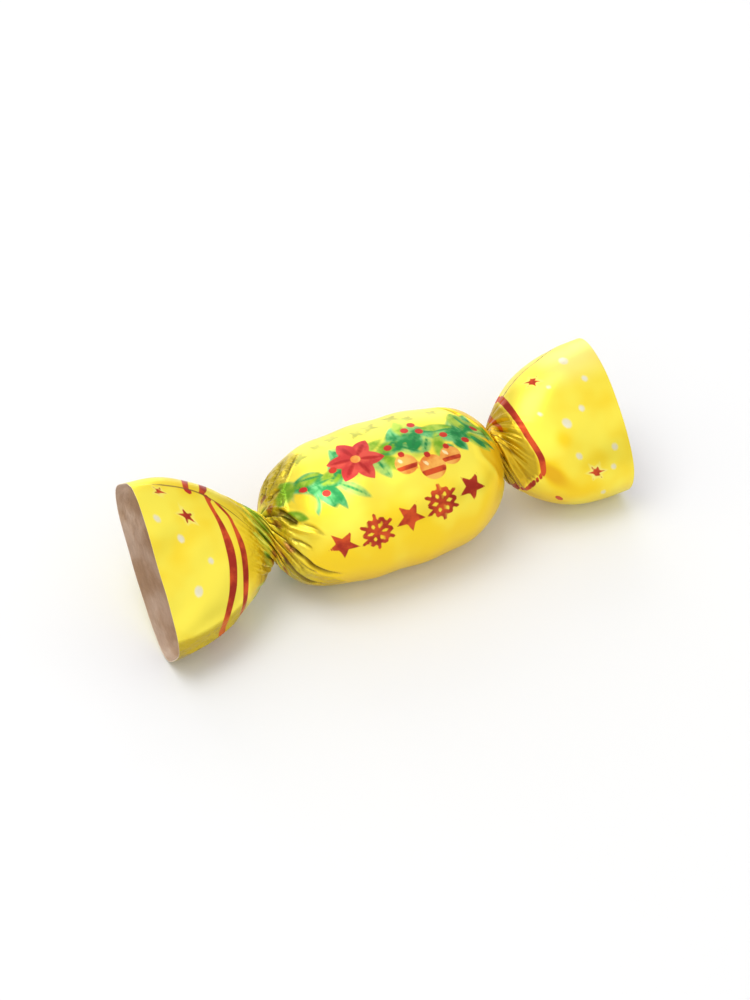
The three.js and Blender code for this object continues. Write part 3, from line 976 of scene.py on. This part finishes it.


# Lemon and gold make the ground; amber and deep gold are painted shade, pale lemon a painted highlight.
LEMON, GOLD, AMBER = (0.98, 0.83, 0.075), (0.95, 0.66, 0.010), (0.82, 0.45, 0.003)
PALE_LEMON, DEEP_GOLD = (0.98, 0.93, 0.46), (0.45, 0.31, 0.006)
INK_COLOURS = (
    # ink, and the two tones that it wavers between
    ("olive", (0.42, 0.42, 0.04), (0.60, 0.58, 0.06)),
    ("fringe", (0.55, 0.62, 0.06), (0.80, 0.78, 0.09)),
    ("pale_green", (0.16, 0.46, 0.12), (0.50, 0.68, 0.13)),
    ("green", (0.008, 0.25, 0.05), (0.17, 0.54, 0.19)),
    ("moss", (0.17, 0.38, 0.008), (0.42, 0.57, 0.05)),
    ("deep_green", (0.008, 0.20, 0.045), (0.03, 0.33, 0.08)),
    ("gold", (0.93, 0.56, 0.010), (0.95, 0.70, 0.03)),
    ("rust", (0.40, 0.13, 0.02), (0.58, 0.27, 0.05)),
    ("rose", (0.56, 0.030, 0.028), (0.76, 0.085, 0.055)),
    ("rose_vein", (0.40, 0.012, 0.012), (0.50, 0.02, 0.015)),
    ("orange", (0.80, 0.23, 0.03), (0.95, 0.48, 0.09)),
    ("berry", (0.52, 0.02, 0.012), (0.62, 0.035, 0.015)),
    ("glint", (0.95, 0.72, 0.35), (0.95, 0.78, 0.42)),
    ("halo", (0.96, 0.80, 0.10), (0.96, 0.84, 0.18)),
    ("red", (0.38, 0.020, 0.005), (0.68, 0.080, 0.012)),
    ("snow", (0.78, 0.72, 0.48), (0.84, 0.80, 0.60)),
)
PLAIN_SOFTNESS = 0.06  # half the width, in millimetres, over which an ink's edge fades
SOFT_INKS = {
    "snow": 0.16, "halo": 0.16, "olive": 0.2, "fringe": 0.5, "green": 0.18, "pale_green": 0.25,
    "moss": 0.3, "deep_green": 0.12, "gold": 0.4, "rust": 0.25, "rose_vein": 0.14,
}
# Colours of painted shade in the folds, along the creases and along the lapped edge.
FOLD_SHADE, LAP_SHADE = (0.12, 0.065, 0.004), (0.20, 0.07, 0.006)

printed_film, tree = new_material("printed_film")
golden_shade_amount = read_number(tree, "golden_shade_and_patches")
gathered_shade_and_gloss = read_number(tree, "gathered")

# The yellow ground: clouds of lemon and gold, with painted shade that deepens it
# towards gold and amber, a painted highlight that pales it, and under the inks
# the painted shade of gathered film.
clouds_and_shade = reckon(tree, "MULTIPLY_ADD", golden_shade_amount, 0.28, noise(tree, 170, 2))
colour = layer(tree, LEMON, ramp(tree, clouds_and_shade, 0.44, 0.84), GOLD)
colour = layer(tree, colour, ramp(tree, golden_shade_amount, 0.9, 2.1), AMBER)
colour = layer(tree, colour, read_number(tree, "painted_top_light"), PALE_LEMON)
gathered_shade_below = ramp(tree, gathered_shade_and_gloss, 0.1, 1.4, 0.0, 0.75)
colour = layer(tree, colour, gathered_shade_below, DEEP_GOLD)

# The inks, each a wavering tone between two, with its own softness of edge.
mottle = ramp(tree, noise(tree, 520, 3), 0.38, 0.62)
for ink, dark_tone, light_tone in INK_COLOURS:
    soft = SOFT_INKS.get(ink, PLAIN_SOFTNESS)
    inked = ramp(tree, read_number(tree, ink), soft, -soft)
    colour = layer(tree, colour, inked, layer(tree, dark_tone, mottle, light_tone))

# Over the inks, painted shade: on gathered film, in the folds, as dark lines along
# the creases and along the lapped edge.
gathered_shade_above = ramp(tree, gathered_shade_and_gloss, 0.1, 1.4, 0.0, 0.22)
colour = layer(tree, colour, gathered_shade_above, DEEP_GOLD)
painted_fold_shade = ramp(tree, read_number(tree, "shade"), 0.25, 1.0, 0.0, 0.8)
colour = layer(tree, colour, painted_fold_shade, FOLD_SHADE)
line = ramp(tree, read_number(tree, "crease_shade_line"), 0.24, -0.16, 0.0, 0.88)
colour = layer(tree, colour, line, FOLD_SHADE)
to_lap = reckon(tree, "ABSOLUTE", read_number(tree, "lap_side"))
lap_edge = reckon(tree, "ADD", to_lap, read_number(tree, "lap_rest"))
lap_shade_line = ramp(tree, lap_edge, 0.10, -0.10, 0.0, 0.88)
colour = layer(tree, colour, lap_shade_line, LAP_SHADE)

# Gathered film is a little glossier, and its crumples are a bump over slow waves.
gloss = reckon(
    tree, "MULTIPLY_ADD", ramp(tree, gathered_shade_and_gloss, 0.2, 0.7), -0.055,
    ramp(tree, noise(tree, 300, 2), 0.3, 0.7, 0.345, 0.40),
)
creased = ramp(tree, read_number(tree, "crumpled"), 0.3, 0.9)
crumple = reckon(tree, "MULTIPLY", creased, noise(tree, 1150, 2, 1.5))
waviness = bump(tree, noise(tree, 260, 0), 0.3, 0.0001)

shader = tree.nodes["Principled BSDF"]
shader.inputs["Metallic"].default_value = 0.7
shader.inputs["Coat Weight"].default_value = 0.12
shader.inputs["Coat Roughness"].default_value = 0.12
tree.links.new(colour, shader.inputs["Base Color"])
tree.links.new(gloss, shader.inputs["Roughness"])
tree.links.new(bump(tree, crumple, 0.8, 0.0005, waviness), shader.inputs["Normal"])

BROWN, TAUPE = (0.61, 0.44, 0.30), (0.80, 0.66, 0.54)
bare_lining, tree = new_material("bare_lining")
streaks = noise(tree, 260, 4, 0.5)
shader = tree.nodes["Principled BSDF"]
shader.inputs["Metallic"].default_value = 0.5
shader.inputs["Roughness"].default_value = 0.38
lining_tone = layer(tree, TAUPE, ramp(tree, streaks, 0.34, 0.66), BROWN)
tree.links.new(lining_tone, shader.inputs["Base Color"])
tree.links.new(bump(tree, streaks, 0.35, 0.0006), shader.inputs["Normal"])

film_mesh.materials.append(printed_film)
film_mesh.materials.append(bare_lining)

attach(wrapper, "root")
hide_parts("wrapped_caramel")

# ---------------------------------------------------------------- table and light
# A plain pale table under soft studio light: four area lights, and a white sky
# that is a little brighter overhead.

TABLE_HALF = 3.0
table_corners = [(x * TABLE_HALF, y * TABLE_HALF, 0) for x, y in ((-1, -1), (1, -1), (1, 1), (-1, 1))]
table_mesh = bpy.data.meshes.new("table")
table_mesh.from_pydata(table_corners, [], [(0, 1, 2, 3)])
table_top = bpy.data.objects.new("table", table_mesh)
bpy.context.scene.collection.objects.link(table_top)
table_finish, tree = new_material("pale_table")
shader = tree.nodes["Principled BSDF"]
shader.inputs["Base Color"].default_value = (0.80, 0.80, 0.80, 1.0)
shader.inputs["Roughness"].default_value = 0.7
table_mesh.materials.append(table_finish)


def soft_box(name, at, size, power):
    """A square area light that looks at the sweet, and that the camera doesn't see."""
    data = bpy.data.lights.new(name, "AREA")
    data.shape = "SQUARE"
    data.size = size
    data.energy = power
    lamp = bpy.data.objects.new(name, data)
    lamp.location = at
    lamp.rotation_mode = "QUATERNION"
    lamp.rotation_quaternion = Vector(at).to_track_quat("Z", "Y")
    lamp.visible_camera = False
    bpy.context.scene.collection.objects.link(lamp)


soft_box("back", (0.12, 0.60, 0.20), 0.5, 1.1)
soft_box("key", (-0.15, 0.1, 0.6), 0.4, 1.5)
soft_box("front", (-0.15, -0.6, 0.35), 0.9, 1.2)
soft_box("right", (0.55, -0.29, 0.32), 0.4, 0.14)
world = bpy.data.worlds.new("studio")
world.use_nodes = True
tree = world.node_tree
sky = tree.nodes["Background"]
sky.inputs["Color"].default_value = (1.0, 1.0, 1.0, 1.0)
direction = tree.nodes.new("ShaderNodeSeparateXYZ")
tree.links.new(tree.nodes.new("ShaderNodeTexCoord").outputs["Generated"], direction.inputs["Vector"])
brightness = ramp(tree, direction.outputs["Z"], 0.0, 0.8, 0.5, 0.85)
tree.links.new(brightness, sky.inputs["Strength"])
bpy.context.scene.world = world
bpy.context.scene.view_settings.view_transform = "Standard"
